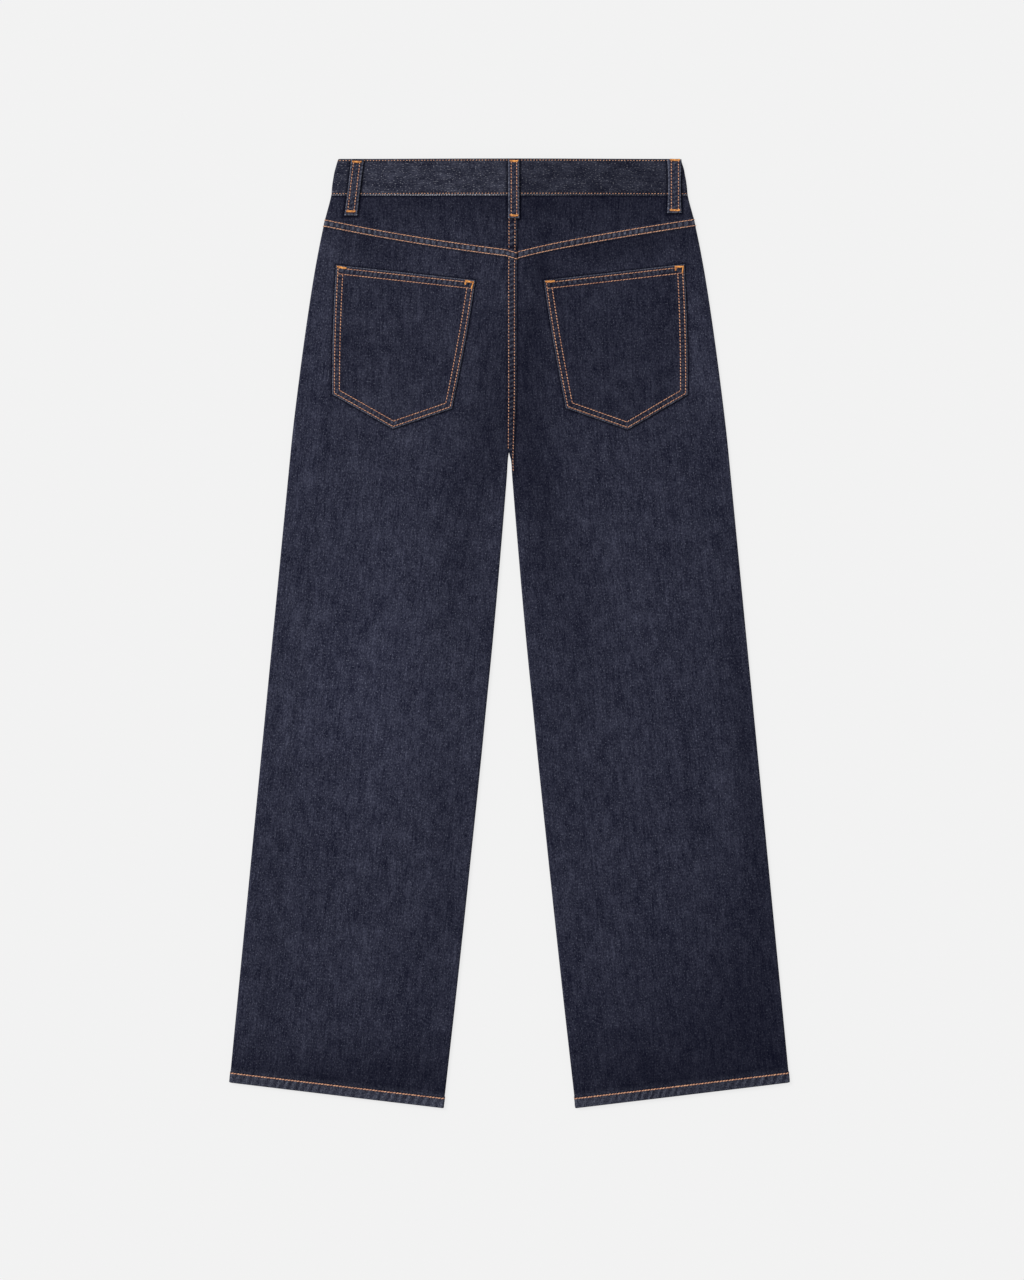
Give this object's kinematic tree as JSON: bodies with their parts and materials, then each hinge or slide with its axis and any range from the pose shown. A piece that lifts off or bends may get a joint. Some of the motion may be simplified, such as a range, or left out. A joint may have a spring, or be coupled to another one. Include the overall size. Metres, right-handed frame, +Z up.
{
  "type": "straight leg jeans",
  "caption": "Straight leg denim jeans lying flat with the back side up: waistband with belt loops, yoke, patch pockets and plain hemmed legs.",
  "frame": {"origin": "centre of the garment's outline, on the surface that it lies on", "axes": "+Z up from the surface through the front panels to the back panels, +Y from the hems to the waist, -X towards the wearer's left"},
  "size_m": [0.6106, 1.0348, 0.0119],
  "materials": {
    "denim": "dark indigo twill, raw, with slub streaks",
    "band_denim": "the same twill, slightly paler on the waistband and belt loops",
    "zip_tape": "plain woven tape",
    "brass": "aged copper-coloured brass, satin"
  },
  "bodies": {
    "root": {"back_leg_left": "denim", "back_leg_right": "denim", "yoke_left": "denim", "yoke_right": "denim", "back_pocket_left": "denim", "back_pocket_right": "denim", "front_leg_left": "denim", "front_leg_right": "denim", "pocket_facing_left": "denim", "pocket_facing_right": "denim", "waistband": "band_denim", "belt_loop_back": "band_denim", "belt_loop_side_left": "band_denim", "belt_loop_side_right": "band_denim", "belt_loop_front_left": "band_denim", "belt_loop_front_right": "band_denim", "fly_zip": "zip_tape", "waist_button": "brass"}
  },
  "joints": []
}
